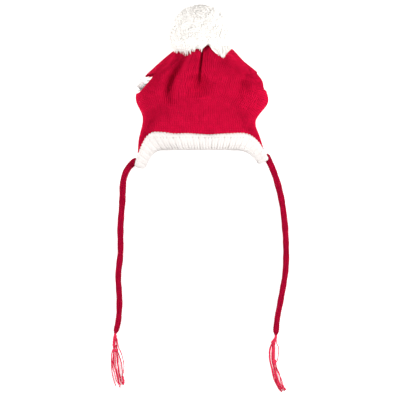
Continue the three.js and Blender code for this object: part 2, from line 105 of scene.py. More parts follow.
def put_mesh(name, points, uv, quads, triangles=()):
    """A mesh from points in millimetres, quads and triangles. uv has one pair for each point."""
    points, triangles = points.reshape(-1, 3), np.array(triangles, int).reshape(-1, 3)
    corners = np.concatenate([quads.reshape(-1), triangles.reshape(-1)])
    sizes = np.concatenate([np.full(len(quads), 4), np.full(len(triangles), 3)])
    mesh = bpy.data.meshes.new(name)
    mesh.vertices.add(len(points))
    mesh.vertices.foreach_set("co", (points * mm).astype(np.float32).reshape(-1))
    mesh.loops.add(len(corners))
    mesh.loops.foreach_set("vertex_index", corners.astype(np.int32))
    mesh.polygons.add(len(sizes))
    mesh.polygons.foreach_set("loop_start", (np.cumsum(sizes) - sizes).astype(np.int32))
    mesh.update(calc_edges=True)
    layer = mesh.uv_layers.new(name="stitches")
    layer.data.foreach_set("uv", uv.astype(np.float32)[corners].reshape(-1))
    mesh.validate()
    mesh.shade_smooth()
    print(name, "faces:", len(mesh.polygons))
    return add_object(name, mesh)


# %% [markdown]
# Cords, yarns and rims follow lines of points. A smooth curve through a few points gives a route,
# which is then cut into even steps.
# %% Lines of points
def unit(vectors):
    """The same directions with length one: each is divided by the root of its summed squares."""
    return vectors / np.linalg.norm(vectors, axis=-1, keepdims=True)


def steps_of(line):
    """The distance from each point, or each row of points, to the next one."""
    return np.linalg.norm(np.diff(line, axis=0), axis=-1)


def way_along(steps):
    """How far along each point lies: the sum of the steps before it."""
    return np.concatenate([[0], np.cumsum(steps)])


def evenly(line, count):
    """The same line as count points that stand evenly along it."""
    along = way_along(steps_of(line))
    at = np.linspace(0, along[-1], count)
    return np.stack([np.interp(at, along, line[:, axis]) for axis in range(3)], axis=1)


def smooth_route(points, count):
    """A Catmull-Rom curve whose knots stand apart by the root of the distance between points,
    cut into count evenly spaced points."""
    p = np.asarray(points, float)
    p = np.vstack([2 * p[0] - p[1], p, 2 * p[-1] - p[-2]])
    knot = way_along(steps_of(p) ** 0.5)
    fine = np.linspace(knot[1], knot[-2], 40 * len(points))
    k = np.clip(np.searchsorted(knot, fine, side="right") - 1, 1, len(p) - 3)

    def between(a, b, i, j):
        share = ((fine - knot[i]) / (knot[j] - knot[i]))[:, None]
        return a * (1 - share) + b * share

    a1 = between(p[k - 1], p[k], k - 1, k)
    a2 = between(p[k], p[k + 1], k, k + 1)
    a3 = between(p[k + 1], p[k + 2], k + 1, k + 2)
    b1 = between(a1, a2, k - 1, k + 1)
    b2 = between(a2, a3, k, k + 2)
    return evenly(between(b1, b2, k, k + 1), count)


def frames_along(line):
    """For each point of a line: the way to its side and the way up from it."""
    ahead = unit(np.gradient(line, axis=0))
    aside = unit(np.cross(ahead, [0, 0, 1.0]))
    return aside, np.cross(aside, ahead)


# %% [markdown]
# The ties come first, because a cord has a length of its own that everything else must leave room
# for. Each is a knitted cord that leaves a cheek point of the band, comes down to the table and
# lies there in a loose curve to its tassel.
# %% Routes of the ties
sides = ("left", "right")
plan_drop = 0.2  # all pieces but the ball lie this much further down the picture than their points
tie_points = {
    "left": [(-64.5, -71.3), (-73, -79.6), (-77.6, -90.5), (-79.2, -114), (-81, -140), (-81, -165),
             (-83.2, -187), (-82, -212), (-83.2, -233), (-86, -244.9)],
    "right": [(64, -66.4), (69.9, -78), (75.4, -93), (80.6, -115), (84, -146), (84.2, -180),
              (79.4, -211), (75.6, -231), (74.3, -246.6)],
}


def tie_route(side, count):
    """The tie's middle line: it starts 5.6 above the table and comes down in two steps."""
    heights = [5.6, 4.4] + [3.2] * (len(tie_points[side]) - 2)
    points = [(x, y - plan_drop, z) for (x, y), z in zip(tie_points[side], heights)]
    return smooth_route(points, count)


for side in sides:
    print(side, "tie:", round(steps_of(tie_route(side, 400)).sum(), 1), "mm long")

# %% [markdown]
# A knitted cord is a narrow tube of knit: five columns of stitches run along it, and each stitch
# is a V. The tube's radius is raised along each column and along the two legs of each V, and the
# columns turn slowly round the cord, because such cords twist.
# %% Tubes of knit
tie_radius, tie_steps, tie_sides = 3.3, 380, 40
tie_wales, tie_turns, tie_stitch, tie_relief = 5, 0.9, 2.1, 0.62
above_table = 0.02


def stitch_height(wale, course):
    """0 to 1: high on the two legs of each V of plain knit. A wale is one column of Vs, and the
    legs rise by half a course from the column's middle to its edges."""
    off = np.abs(wale - np.floor(wale) - 0.5) * 2
    leg = np.abs(np.sin(np.pi * np.clip(off * 0.86 + 0.12, 0, 1))) ** 0.6
    return leg * (0.62 + 0.38 * np.cos(2 * np.pi * (course - 0.5 * off)))


def knitted_cord(name, line, taper):
    """A tube along a line. Its radius is the tie's times the taper, plus stitches and a wobble."""
    aside, up = frames_along(line)
    row = np.arange(len(line)) * np.linalg.norm(line[1] - line[0]) / tie_stitch
    turn = np.linspace(0, 2 * np.pi, tie_sides, endpoint=False)
    wale = (tie_wales * (turn / (2 * np.pi))
            + tie_turns * tie_wales * np.linspace(0, 1, len(line))[:, None])
    swell = tie_relief * (stitch_height(wale, row[:, None]) - 0.6)
    wobble = 0.12 * np.sin(row * 0.9) + 0.1 * np.sin(row * 0.37 + 1)
    size = ((tie_radius + wobble) * taper)[:, None] + swell
    points = (line[:, None] + aside[:, None] * (size * np.cos(turn))[..., None]
              + up[:, None] * (0.94 * size * np.sin(turn))[..., None])
    points[..., 2] = np.maximum(points[..., 2], above_table)
    ends = [points[0].mean(0), points[-1].mean(0)]
    uv = pairs(wale, row[:, None])
    count, around = len(uv), np.arange(tie_sides)
    caps = [fan_faces(around, count), fan_faces(count - tie_sides + around, count + 1, True)]
    return put_mesh(name, np.vstack([points.reshape(-1, 3), ends]),
                    np.vstack([uv, uv[[0, -tie_sides]]]),
                    grid_faces((len(line), tie_sides), ring=True, flip=True), caps)


share = np.linspace(0, 1, tie_steps)
taper = 0.72 + 0.28 * np.clip(share / 0.012, 0, 1)
taper = taper * (1 - 0.12 * share) * (1 - 0.5 * np.clip((share - 0.972) / 0.028, 0, 1) ** 1.6)
ties = {side: knitted_cord(f"tie_{side}_knit", tie_route(side, tie_steps), taper)
        for side in sides}

# %% [markdown]
# The hood is one bag of fine knit. Its form is a short table of cross rows from the mouth to the
# gather: where a row meets the left and the right fold, how high its middle stands in plan, and
# how high the face side is domed above the table. A smooth curve runs through each column of the
# table, so that a row may be taken anywhere between two lines of it.
# %% Rows of the hood
#        left x   left y  right x right y middle bendL bendR  roof under
hood_table = np.array([
    [-57.2, -81.6, 58.6, -77.0, -61.8, 0.32, 0.42, 29.0, 0.0],
    [-66.4, -76.0, 65.8, -69.0, -45.2, 0.33, 0.40, 32.0, 2.4],
    [-63.2, -65.0, 62.2, -63.0, -44.8, 0.27, 0.35, 32.4, 2.2],
    [-62.1, -52.1, 58.3, -50.8, -31.0, 0.45, 0.50, 36.0, -0.6],
    [-57.9, -30.4, 53.5, -33.0, -17.0, 0.60, 0.60, 40.0, -0.6],
    [-64.2, -14.4, 65.5, -15.0, -4.0, 0.80, 0.80, 43.0, -0.6],
    [-64.6, -5.8, 64.2, -2.8, 2.0, 0.90, 0.90, 44.5, -0.6],
    [-60.5, 5.6, 64.2, 6.2, 10.5, 1, 1, 46.0, -0.6],
    [-56.0, 11.4, 55.4, 15.2, 17.5, 1, 1, 47.0, 0.5],
    [-40.5, 25.2, 42.8, 25.5, 25.8, 1, 1, 47.5, 2.5],
    [-26.5, 36.2, 30.0, 38.4, 35.6, 1, 1, 47.0, 7.5],
    [-15.5, 41.2, 20.0, 42.4, 41.4, 1, 1, 42.5, 14.5],
    [-5.5, 43.4, 13.5, 43.4, 44.6, 1, 1, 34.5, 22.0],
])
hood_edge, slit_foot, slit_head, last_row = 2, 6, 8, 12
fold_share = 0.27  # how far up from the underside to the roof the side folds lie


def closer_at_ends(count):
    """0 to 1 in count cells that are smaller near both ends: half of one minus the cosine."""
    return (1 - np.cos(np.pi * np.arange(count + 1) / count)) / 2


def slit_rows(count):
    """Row numbers from the foot of the slits to their head."""
    return slit_foot + (slit_head - slit_foot) * closer_at_ends(count)


def rows_at(t):
    """The table's columns at row numbers t, by a cubic through the four nearest lines."""
    k = np.clip(np.floor(t).astype(int), 0, len(hood_table) - 2)
    f = (t - k)[:, None]
    a, b, c, d = (hood_table[np.clip(k + i, 0, len(hood_table) - 1)] for i in (-1, 0, 1, 2))
    bow = 2 * a - 5 * b + 4 * c - d
    return 0.5 * (2 * b + (c - a) * f + bow * f**2 + (3 * b - a - 3 * c + d) * f**3)


def layer_lines(t, layer, cells):
    """Each row from fold to fold, evenly spaced. The face is domed and the back lies flat."""
    left_x, left_y, right_x, right_y, middle, bend_l, bend_r, roof, under = (
        column[:, None] for column in rows_at(t).T)
    s = 2 * closer_at_ends(320)[None, :] - 1
    fold = under + (roof - under) * fold_share
    bend = 1 - np.minimum(1, (1 - np.abs(s)) / np.where(s < 0, bend_l, bend_r))
    end_y = np.where(s < 0, left_y, right_y)
    if layer == "face":
        z = fold + (roof - fold) * (1 - np.abs(s) ** 2.3) ** 0.6
    else:
        z = fold - (fold - under) * (1 - np.abs(s) ** 7) ** 0.5
    x = left_x + (right_x - left_x) * (1 + s) / 2
    y = middle + (end_y - middle) * bend**2.4
    lines = np.stack(np.broadcast_arrays(x, y, z), axis=-1)
    return np.stack([evenly(line, cells + 1) for line in lines])


print("hood rows:", len(hood_table))

# %% [markdown]
# Lying slack, the hood has folds: a deep pleat on the left, a sharp one in the middle with a soft
# dent below it, two soft ridges, and a dent on the right. Two shallow creases run along the
# shoulders. Each is a line in plan with a bell-shaped valley across it.
# %% Folds
creases = [
    # points in plan towards the mouth, depth, width to the left and right, the share of the line
    # over which it deepens, and a power that keeps the depth further along the larger it is
    ([(-10.5, 44), (-14, 33), (-19.5, 21), (-26, 10), (-30.5, -2), (-32.5, -18)],
     10.5, 7.2, 5, 0.55, 5),
    ([(-25, 14), (-30, 2), (-32, -18)], 4.5, 8, 5, 0.5, 3),
    ([(2.2, 44), (0.6, 30), (-0.6, 18), (-1.4, 5)], 6, 3.6, 2.0, 0.05, 9),
    ([(-1, 16), (-2, 4), (0, -10)], 17, 12, 12, 0.6, 1.8),
    ([(-4, 42), (-11, 26), (-18, 4), (-22, -14)], -3.5, 5, 5, 0.05, 1.6),
    ([(8, 44), (9, 20), (12, -6)], -3, 6, 9, 0.05, 1.6),
    ([(49, 16), (44, 8), (39.5, 0), (33, -7), (26, -14)], 11, 9, 12, 0.55, 2.5),
    ([(29, 39), (44, 21.5), (52, 12)], 2.0, 1.4, 1.6, 0.2, 3),
    ([(-26, 34), (-37, 22), (-48, 12)], 2.0, 2.5, 2.5, 0.2, 3),
]


def smoothstep(x, low, high):
    """0 below low, 1 above high, and between them three times the square less twice the cube."""
    x = np.clip((x - low) / (high - low), 0, 1)
    return x * x * (3 - 2 * x)


def bell(x, middle, width):
    """1 at the middle, and e to minus the squared distance in widths away from it."""
    return np.exp(-(((x - middle) / width) ** 2))


def crease_depth(x, y, path, depth, left, right, rise, power):
    """Depth times a bell curve of the distance to the path. It fades in over the first share of
    the path and fades out towards its end."""
    nearest = np.full(x.shape, np.inf)
    turn, share = np.zeros(x.shape), np.zeros(x.shape)
    for i, (start, end) in enumerate(zip(path[:-1], path[1:])):
        run = np.subtract(end, start)
        part = np.clip(((x - start[0]) * run[0] + (y - start[1]) * run[1]) / (run @ run), 0, 1)
        off_x, off_y = x - start[0] - part * run[0], y - start[1] - part * run[1]
        off = np.hypot(off_x, off_y)
        closer = off < nearest
        nearest = np.where(closer, off, nearest)
        turn = np.where(closer, run[0] * off_y - run[1] * off_x, turn)
        share = np.where(closer, (i + part) / (len(path) - 1), share)
    wide = np.where(turn > 0, right, left) * (0.5 + 0.8 * share)
    fade = smoothstep(share, 0, rise) * (1 - share**power)
    return depth * bell(nearest, 0, wide) * fade


print("folds:", len(creases))

# %% [markdown]
# A closed ring of points runs over the face side and home along the back. Near the gather the
# knit also puckers all round.
# %% Rings round the hood
puckers, pucker_height = 13, 1.5


def hood_rings(t, on_face, on_back):
    """Closed rings round the hood at row numbers t: over the face from left to right, and home
    along the back. With them come each column's share of the way across and its layer."""
    face, back = layer_lines(t, "face", on_face), layer_lines(t, "back", on_back)
    ring = np.concatenate([face, back[:, 1:-1][:, ::-1]], axis=1)
    share = np.concatenate([np.linspace(0, 1, on_face + 1),
                            np.linspace(0, 1, on_back + 1)[-2:0:-1]])
    is_face = np.arange(len(share)) <= on_face
    near_gather = smoothstep(t, slit_head, last_row - 1)[:, None]
    end_fade = 1 - smoothstep(t, last_row - 1.7, last_row)[:, None]
    edge_fade = np.minimum(1, 8 * share * (1 - share)) * is_face
    x, y = ring[..., 0].copy(), ring[..., 1].copy()
    for crease in creases:
        ring[..., 2] -= crease_depth(x, y, *crease) * edge_fade * end_fade
    turn = np.where(is_face, share, 2 - share)
    rise = 0.6 * np.sin(np.pi * share) * np.where(is_face, 1, -1)
    away = unit(np.stack([2 * share - 1, 0 * share, rise], 1))
    ring += (pucker_height * near_gather * np.cos(np.pi * puckers * turn))[..., None] * away
    ring[..., 2] = np.maximum(ring[..., 2], 0)
    return ring, share, is_face


def ring_normals(ring):
    """The way out of the hood at each point, from its neighbours along and across the rings."""
    along = np.roll(ring, -1, axis=1) - np.roll(ring, 1, axis=1)
    across = np.concatenate([ring[1:], ring[-1:]]) - np.concatenate([ring[:1], ring[:-1]])
    return unit(np.cross(along, across))


# %% [markdown]
# At each side a slit for an ear parts the two layers, and its rims are pulled away from the fold.
# The hood's grid has four cells for each column of stitches.
# %% Slits
wales_face, wales_back, cells_per_wale = 68, 60, 4
on_face, on_back = cells_per_wale * wales_face, cells_per_wale * wales_back
slits = {
    # for each layer: how far the rim is pulled away from the fold, the share of the layer that is
    # moved, the share that is rim, and the cuff's width there and its way from the rim
    "left": {"face": ((13.5, 3.2, 13), 0.3, 0.2, 4.4, (0.15, 0.1, -1)),
             "back": ((5.6, 0.3, -4.5), 0.3, 0.09, 8.6, (-0.97, 0.12, 0.02))},
    "right": {"face": ((-4.4, 0.2, 15.5), 0.3, 0.09, 4.2, (0.3, 0.1, -1)),
              "back": ((-6.0, 0.4, -3), 0.09, 0.09, 4.4, (-0.2, 0.2, 1))},
}


def slit_shift(t, layer, share):
    """How far the slits move a point of a layer: a pull that is full at the fold and fades out
    across the layer. At the rim it draws a round-ended opening, and further in a soft bulge. The
    face side's opening on the left has blunter ends and is wider at its head."""
    opening = np.clip((t - slit_foot) / (slit_head - slit_foot), 0, 1)[:, None]
    round_ends = 2 * np.sqrt(opening * (1 - opening))
    beyond = bell(t[:, None], (slit_foot + slit_head) / 2, 1.1)
    shift = 0
    for side, from_fold in (("left", share), ("right", 1 - share)):
        pull, reach, rim = slits[side][layer][:3]
        blunt = (side, layer) == ("left", "face")
        at_rim = (0.35 + 1.05 * opening) * round_ends**0.4 if blunt else round_ends
        hold = np.maximum(0, 1 - from_fold / reach) ** 2
        near = np.maximum(0, 1 - from_fold / rim)
        shift = shift + (hold * (beyond * (1 - near) + at_rim * near))[..., None] * np.array(pull)
    return shift


def sheets(ring, t, lowest):
    """The rings as a face and a back sheet, each from the left fold to the right one."""
    face = ring[:, : on_face + 1]
    back = np.concatenate([ring[:, :1], ring[:, on_face:][:, ::-1]], axis=1)
    made = {}
    for layer, sheet in (("face", face), ("back", back)):
        sheet = sheet + slit_shift(t, layer, np.linspace(0, 1, sheet.shape[1]))
        sheet[..., 1] -= plan_drop
        sheet[..., 2] = np.maximum(sheet[..., 2], lowest)
        made[layer] = sheet
    return made


# %% [markdown]
# The knit has 68 columns of stitches across the face and 60 across the back, about 2.2 mm wide.
# Each is a low ridge in the mesh itself, and the Vs on it are left to the material. The first row
# is the hem, which is tucked under the band. The skin inside is plainer, because it is hardly
# seen, and it ends short of the ball.
# %% The hood's two skins
hood_wall, hood_stitch, ridge_height = 2.2, 1.6, 0.85
hem_down, hem_in, inner_end = 1.8, 1.2, 35
hood_t = np.concatenate([[hood_edge], np.linspace(hood_edge, slit_foot, 54)[:-1], slit_rows(24),
                         np.linspace(slit_head, last_row, 34)[1:]])
ring = hood_rings(hood_t, on_face, on_back)[0]
ring[0] += [0, -hem_down, 0]
ring[0] -= hem_in * ring_normals(ring[1:])[0]
normal = ring_normals(ring)
course = way_along(steps_of(ring)[:, :on_face].mean(axis=1)) / hood_stitch
wales = {"face": np.linspace(0, wales_face, on_face + 1),
         "back": np.linspace(0, wales_back, on_back + 1)}
ring_wales = np.concatenate([wales["face"], wales["back"][-2:0:-1]])
to_top = smoothstep(hood_t, last_row - 3, last_row)[:, None]
ridge = ridge_height * np.abs(np.sin(np.pi * ring_wales)) ** 0.7 * (1 - 0.6 * to_top)
outer = sheets(ring + normal * ridge[..., None], hood_t, 0)
close = hood_wall * to_top
inner_ring = ring - normal * hood_wall
inner_ring[..., 1] = np.minimum(inner_ring[..., 1] - close, inner_end - 0.3 * close)
inner = sheets(inner_ring, hood_t, hood_wall)
inner = {layer: sheet[:, ::2] for layer, sheet in inner.items()}
print("stitches along the hood:", round(course[-1]))

# %% [markdown]
# The four sheets become one closed mesh. The two skins are joined round the mouth and along the
# slits, and each is closed at the gather with a fan of triangles.
# %% The hood's mesh
points, quads, uvs, number = [], [], [], {}
count = 0
for skin, skin_sheets, coarser in (("outer", outer, 1), ("inner", inner, 2)):
    for layer, sheet in skin_sheets.items():
        number[skin, layer] = count + np.arange(sheet[..., 0].size).reshape(sheet.shape[:2])
        flip = (skin == "outer") == (layer == "back")
        quads.append(grid_faces(sheet.shape[:2], count, flip=flip))
        points.append(sheet.reshape(-1, 3))
        apart = 200 if layer == "back" else 0
        uvs.append(pairs((apart + wales[layer])[::coarser], course[:, None]))
        count += len(points[-1])


def rim_faces(coarse, fine, flip):
    """Triangles between a line of points and one with twice as many cells."""
    made = np.concatenate([
        np.stack([coarse[:-1], fine[1::2], fine[:-1:2]], 1),
        np.stack([coarse[:-1], coarse[1:], fine[1::2]], 1),
        np.stack([coarse[1:], fine[2::2], fine[1::2]], 1)])
    return made[:, ::-1] if flip else made


def join_doubles(piece, within=2e-6):
    """Merges points that lie on each other, as along a seam between two grids, and counts the
    edges that haven't a face on both sides."""
    work = bmesh.new()
    work.from_mesh(piece.data)
    bmesh.ops.remove_doubles(work, verts=work.verts, dist=within)
    open_edges = sum(1 for edge in work.edges if len(edge.link_faces) != 2)
    work.to_mesh(piece.data)
    work.free()
    print(piece.name, "open edges:", open_edges)


triangles = [rim_faces(number["inner", layer][0], number["outer", layer][0], layer == "back")
             for layer in ("face", "back")]
for skin in ("outer", "inner"):
    top = np.concatenate([number[skin, "face"][-1], number[skin, "back"][-1][-2:0:-1]])
    points.append(np.concatenate(points)[top].mean(0)[None])
    uvs.append(np.array([[0.0, course[-1]]]))
    triangles.append(fan_faces(top, count, flip=skin == "inner"))
    count += 1
in_slit = np.nonzero((hood_t[:-1] >= slit_foot - 1e-6) & (hood_t[1:] <= slit_head + 1e-6))[0]
for end in (0, -1):
    for layer in ("face", "back"):
        out_line, in_line = number["outer", layer][:, end], number["inner", layer][:, end]
        wall = np.stack([out_line[in_slit], out_line[in_slit + 1],
                         in_line[in_slit + 1], in_line[in_slit]], 1)
        quads.append(wall if (end == 0) == (layer == "face") else wall[:, ::-1])
hood = put_mesh("hood_knit", np.concatenate(points), np.concatenate(uvs), np.concatenate(quads),
                np.concatenate(triangles))
join_doubles(hood)

# %% [markdown]
# The band round the mouth is thick rib knit in white. Its section is a soft oblong that is
# carried round the mouth between the first two rows of the hood. Ribs cross it, 26 on the face
# and 24 on the back, and each is two columns of fat stitches.
# %% Section of the band
band_thick, band_sides = 6.8, 56
ribs_face, ribs_back, cells_per_rib = 26, 24, 20
band_ring, band_share, band_is_face = hood_rings(
    np.array([0, 0.5, 1.0]), ribs_face * cells_per_rib, ribs_back * cells_per_rib)
low = band_ring[0] - ring_normals(band_ring)[0] * band_thick / 2
high = band_ring[2]
along = (np.roll(low, -1, 0) + np.roll(high, -1, 0)) - (np.roll(low, 1, 0) + np.roll(high, 1, 0))
band_out = unit(np.cross(along, high - low))
rib = np.where(band_is_face, band_share * ribs_face, ribs_face + (1 - band_share) * ribs_back)


def rounded(v, power):
    """A power of the size of v with the sign of v. Powers below 1 make a circle squarer."""
    return np.sign(v) * np.abs(v) ** power


def turns_round(count):
    """Angles of count points round a section, which start half a step after zero."""
    return 2 * np.pi * (np.arange(count) + 0.5) / count


def oblong(low, high, out, half, thick, turn):
    """Soft oblong sections between low and high: half the width times a squarish cosine along the
    line between them, and half the thickness times a squarish sine out of it."""
    return ((low + high)[:, None] / 2
            + unit(high - low)[:, None] * (half * rounded(np.cos(turn), 0.6))[..., None]
            + out[:, None] * (thick * rounded(np.sin(turn), 0.75))[..., None])


print("ribs:", ribs_face + ribs_back)

# %% [markdown]
# Small stitch holes lie between the columns in three rows, the lowest of which are short furrows.
# They are deepest in the middle of the face side. The band's upper edge is scalloped by the ribs
# and swings up and down where the hood pulls at it.
# %% The ribbed band
band_courses = 16
arc = np.linspace(0, 1, band_sides, endpoint=False)[None, :]
rib_number = np.floor(rib + 0.5).astype(int) % (ribs_face + ribs_back)
jitter = np.random.default_rng(5).uniform(0.45, 1.25, (4, ribs_face + ribs_back))
jitter = jitter[:, rib_number][..., None]
in_middle = smoothstep(0.5 - np.abs(band_share - 0.5), 0.15, 0.3)
strong = np.where(band_is_face, 0.1 + 0.9 * in_middle, 0.5)[:, None]
off = np.abs(rib - np.round(rib))[:, None]
half_off = 0.5 - off
marks = [1.5 * jitter[k] * bell(arc, 0.185, 0.018) + 1.4 * jitter[k + 1] * bell(arc, 0.27, 0.018)
         + 2.3 * jitter[k + 1] * smoothstep(arc, 0.3, 0.335) * (1 - smoothstep(arc, 0.375, 0.405))
         for k in (0, 2)]
holes = strong * (bell(off, 0, 0.09) * marks[0] + 0.75 * bell(half_off, 0, 0.09) * marks[1])
plump = (0.22 * np.cos(2 * np.pi * rib) + 0.1 * np.cos(4 * np.pi * rib))[:, None]
fat = 0.16 * np.cos(2 * np.pi * (arc * band_courses - 0.9 * half_off))
swing = np.interp(band_share, [0.1, 0.2, 0.25, 0.3, 0.36, 0.44, 0.51, 0.57, 0.64, 0.74, 0.8],
                  [0, 1.2, 1.7, 1.2, -0.3, 0.2, -0.8, -1.5, -0.4, 0.4, 0]) * band_is_face
scallop = 0.45 * np.cos(4 * np.pi * rib) * (0.3 + 0.7 * jitter[1, :, 0]) + swing
at_edges = np.maximum(bell(arc, 0, 0.2), bell(arc, 1, 0.1))
half = np.linalg.norm(high - low, axis=1)[:, None] / 2 + scallop[:, None] * at_edges
thick = band_thick / 2 - plump + fat - holes
band_points = oblong(low, high, band_out, half, thick, turns_round(band_sides))
band_points[..., 1] -= plan_drop
band_points[..., 2] = np.maximum(band_points[..., 2], 0)
band = put_mesh("band_rib", band_points, pairs(2 * rib[:, None], band_courses * arc),
                grid_faces((len(rib), band_sides), ring=True, loop=True))

# %% [markdown]
# Each ear slit is bound with a narrow band of the same white yarn. Its section, an oblong too,
# is carried once round the slit's rim: up the face side's edge and back down the other.
# %% The ear cuffs
cuff_thick, cuff_rib_long, cuff_steps, cuff_sides = 3.4, 2.7, 60, 18


def cuff(side):
    """A closed band along the rim: at each point its section reaches away from the hood's edge,
    towards the slit's middle near its ends and the layer's own way between them."""
    t = slit_rows(cuff_steps)
    ring = hood_rings(t, on_face, on_back)[0]
    layers = sheets(ring - ring_normals(ring) * hood_wall / 2, t, 0)
    end = 0 if side == "left" else -1
    face, back = layers["face"][:, end], layers["back"][:, end]
    centre = (face[cuff_steps // 2] + back[cuff_steps // 2]) / 2
    number = np.concatenate([np.arange(cuff_steps), np.arange(cuff_steps, 0, -1)])
    on_face_rim = (np.arange(2 * cuff_steps) < cuff_steps)[:, None]
    rim = np.where(on_face_rim, face[number], back[number])
    ahead = unit(np.roll(rim, -1, 0) - np.roll(rim, 1, 0))
    share = np.sin(np.pi * number / cuff_steps)[:, None] ** 0.7
    face_wide, face_way = slits[side]["face"][3:]
    back_wide, back_way = slits[side]["back"][3:]
    turned = np.where(on_face_rim, unit(np.array(face_way)), unit(np.array(back_way)))
    way = unit(centre - rim) * (1 - share) + turned * share
    way = unit(way - ahead * (way * ahead).sum(1, keepdims=True))
    wide = face_wide * (1 - share) + np.where(on_face_rim, face_wide, back_wide) * share
    low, high = rim - 0.3 * way, rim + way * wide
    length = way_along(steps_of(rim))
    rib = length / length[-1] * round(length[-1] / cuff_rib_long)
    swell = 1 - 0.16 * (0.5 + 0.5 * np.cos(2 * np.pi * rib))[:, None] ** 1.5
    half = np.linalg.norm(high - low, axis=1)[:, None] / 2
    turn = turns_round(cuff_sides)
    points = oblong(low, high, np.cross(ahead, way), half, cuff_thick / 2 * swell, turn)
    return put_mesh(f"ear_cuff_{side}_rib", points, pairs(rib[:, None], 6 * turn / (2 * np.pi)),
                    grid_faces((2 * cuff_steps, cuff_sides), ring=True, loop=True))


cuffs = {side: cuff(side) for side in sides}

# %% [markdown]
# The yarn ball is a few thousand short pieces of yarn that stand out from a hidden core. The
# whole is round, but pressed flat on the table and squashed where it sits on the hood.
# %% Form of the ball
random = np.random.default_rng(12)
ball_middle = np.array([-1, 51.3, 29])
ball_radius, ball_squash = 31.4, 15


def golden_ways(count):
    """Directions spread evenly over a ball: each turns by the golden angle from the last."""
    up = 1 - (2 * (np.arange(count) + 0.5)) / count
    turn = np.pi * (3 - 5**0.5) * np.arange(count)
    flat = np.sqrt(1 - up * up)
    return np.stack([flat * np.cos(turn), up, flat * np.sin(turn)], 1)


def squash_ball(points):
    """Flattens the side towards the hood, with a notch for the hood's middle fold and a shallow
    one to the left of it, and the side on the table."""
    points = points.copy()
    x, y, z = points[..., 0], points[..., 1], points[..., 2]
    below = (ball_middle[1] - y) / ball_radius
    notch = 6.5 * bell(x, 6.3, 5) + 2.4 * bell(x, -5, 5)
    notch = np.where(z > ball_middle[2], notch, 0)
    pressed = (ball_squash - notch) * (1 - (1 - np.clip(below, 0, 1)) ** 3.5)
    points[..., 1] = np.where(below > 0, ball_middle[1] - pressed, y)
    points[..., 2] = np.maximum(z, 0.25)
    return points


# %% [markdown]
# All pieces of yarn are made at once: one array holds every ring of every yarn.
# %% Tubes of yarn
def yarns(lines, radius, sides):
    """Tubes of yarn, all at once. lines has one row of points for each yarn, and radius one
    number for each of its points. Each tube ends in a point at both ends."""
    many, steps, _ = lines.shape
    ahead = np.gradient(lines, axis=1)
    ahead /= np.linalg.norm(ahead, axis=2, keepdims=True) + 1e-9
    pole = np.where(np.abs(ahead[..., 2:3]) < 0.8, [[[0, 0, 1.0]]], [[[1.0, 0, 0]]])
    aside = unit(np.cross(ahead, pole))
    up = np.cross(aside, ahead)
    turn = np.linspace(0, 2 * np.pi, sides, endpoint=False)
    rings = lines[:, :, None] + radius[..., None, None] * (
        aside[:, :, None] * np.cos(turn)[:, None] + up[:, :, None] * np.sin(turn)[:, None])
    number = np.arange(many * steps * sides).reshape(many, steps, sides)
    after = np.roll(number, -1, axis=2)
    quads = np.stack([number[:, :-1], number[:, 1:], after[:, 1:], after[:, :-1]], -1)
    tips = number.size + np.repeat(np.arange(2 * many).reshape(2, many, 1), sides, 2)
    caps = np.stack([np.stack([number[:, 0], after[:, 0], tips[0]], -1),
                     np.stack([after[:, -1], number[:, -1], tips[1]], -1)])
    start = lines[:, 0] - ahead[:, 0] * radius[:, :1] * 0.5
    end = lines[:, -1] + ahead[:, -1] * radius[:, -1:] * 0.6
    points = np.concatenate([rings.reshape(-1, 3), start, end])
    points[:, 2] = np.maximum(points[:, 2], above_table)
    along = np.cumsum(np.linalg.norm(np.diff(lines, axis=1, prepend=lines[:, :1]), axis=2), axis=1)
    uv = pairs(turn / (2 * np.pi) + np.arange(many)[:, None, None] * 3, along[..., None])
    uv = np.concatenate([uv, uv[number[:, 0, 0]], uv[number[:, -1, 0]]])
    return points, uv, quads.reshape(-1, 4), caps.reshape(-1, 3)


# %% [markdown]
# The yarns lean a little to the tips of 150 locks, and each is cut at a length of its own.
# %% Yarns of the ball
yarn_count, yarn_root = 4350, 28.6
lock_tips = golden_ways(150)
lock_lean = random.normal(0, 1, lock_tips.shape)
ways = golden_ways(yarn_count)
ways = unit(ways + random.normal(0, 0.012, ways.shape))
nearness = ways @ lock_tips.T
lock = nearness.argmax(1)
from_tip = np.arccos(np.clip(nearness.max(1), -1, 1))
lean = (0.32 * (lock_tips[lock] - ways) + 0.06 * lock_lean[lock]
        + random.normal(0, 0.03, ways.shape))
lean -= ways * (lean * ways).sum(1, keepdims=True)
reach = ball_radius - 0.3 - 0.6 * (from_tip / from_tip.max()) ** 2
reach = np.minimum(reach + random.normal(0, 0.3, yarn_count), ball_radius + 0.5)
steps = np.array([0.0, 0.4, 0.75, 1.0])
lines = unit(ways[:, None] + lean[:, None] * steps[None, :, None] ** 1.3)
lines *= (yarn_root + (reach[:, None] - yarn_root) * steps**0.8)[..., None]
ball_lines = squash_ball(lines + ball_middle)
ball_thickness = np.array([0.7, 0.9, 0.94, 0.76]) * random.uniform(0.9, 1.12, (yarn_count, 1))
print("yarns of the ball:", yarn_count)

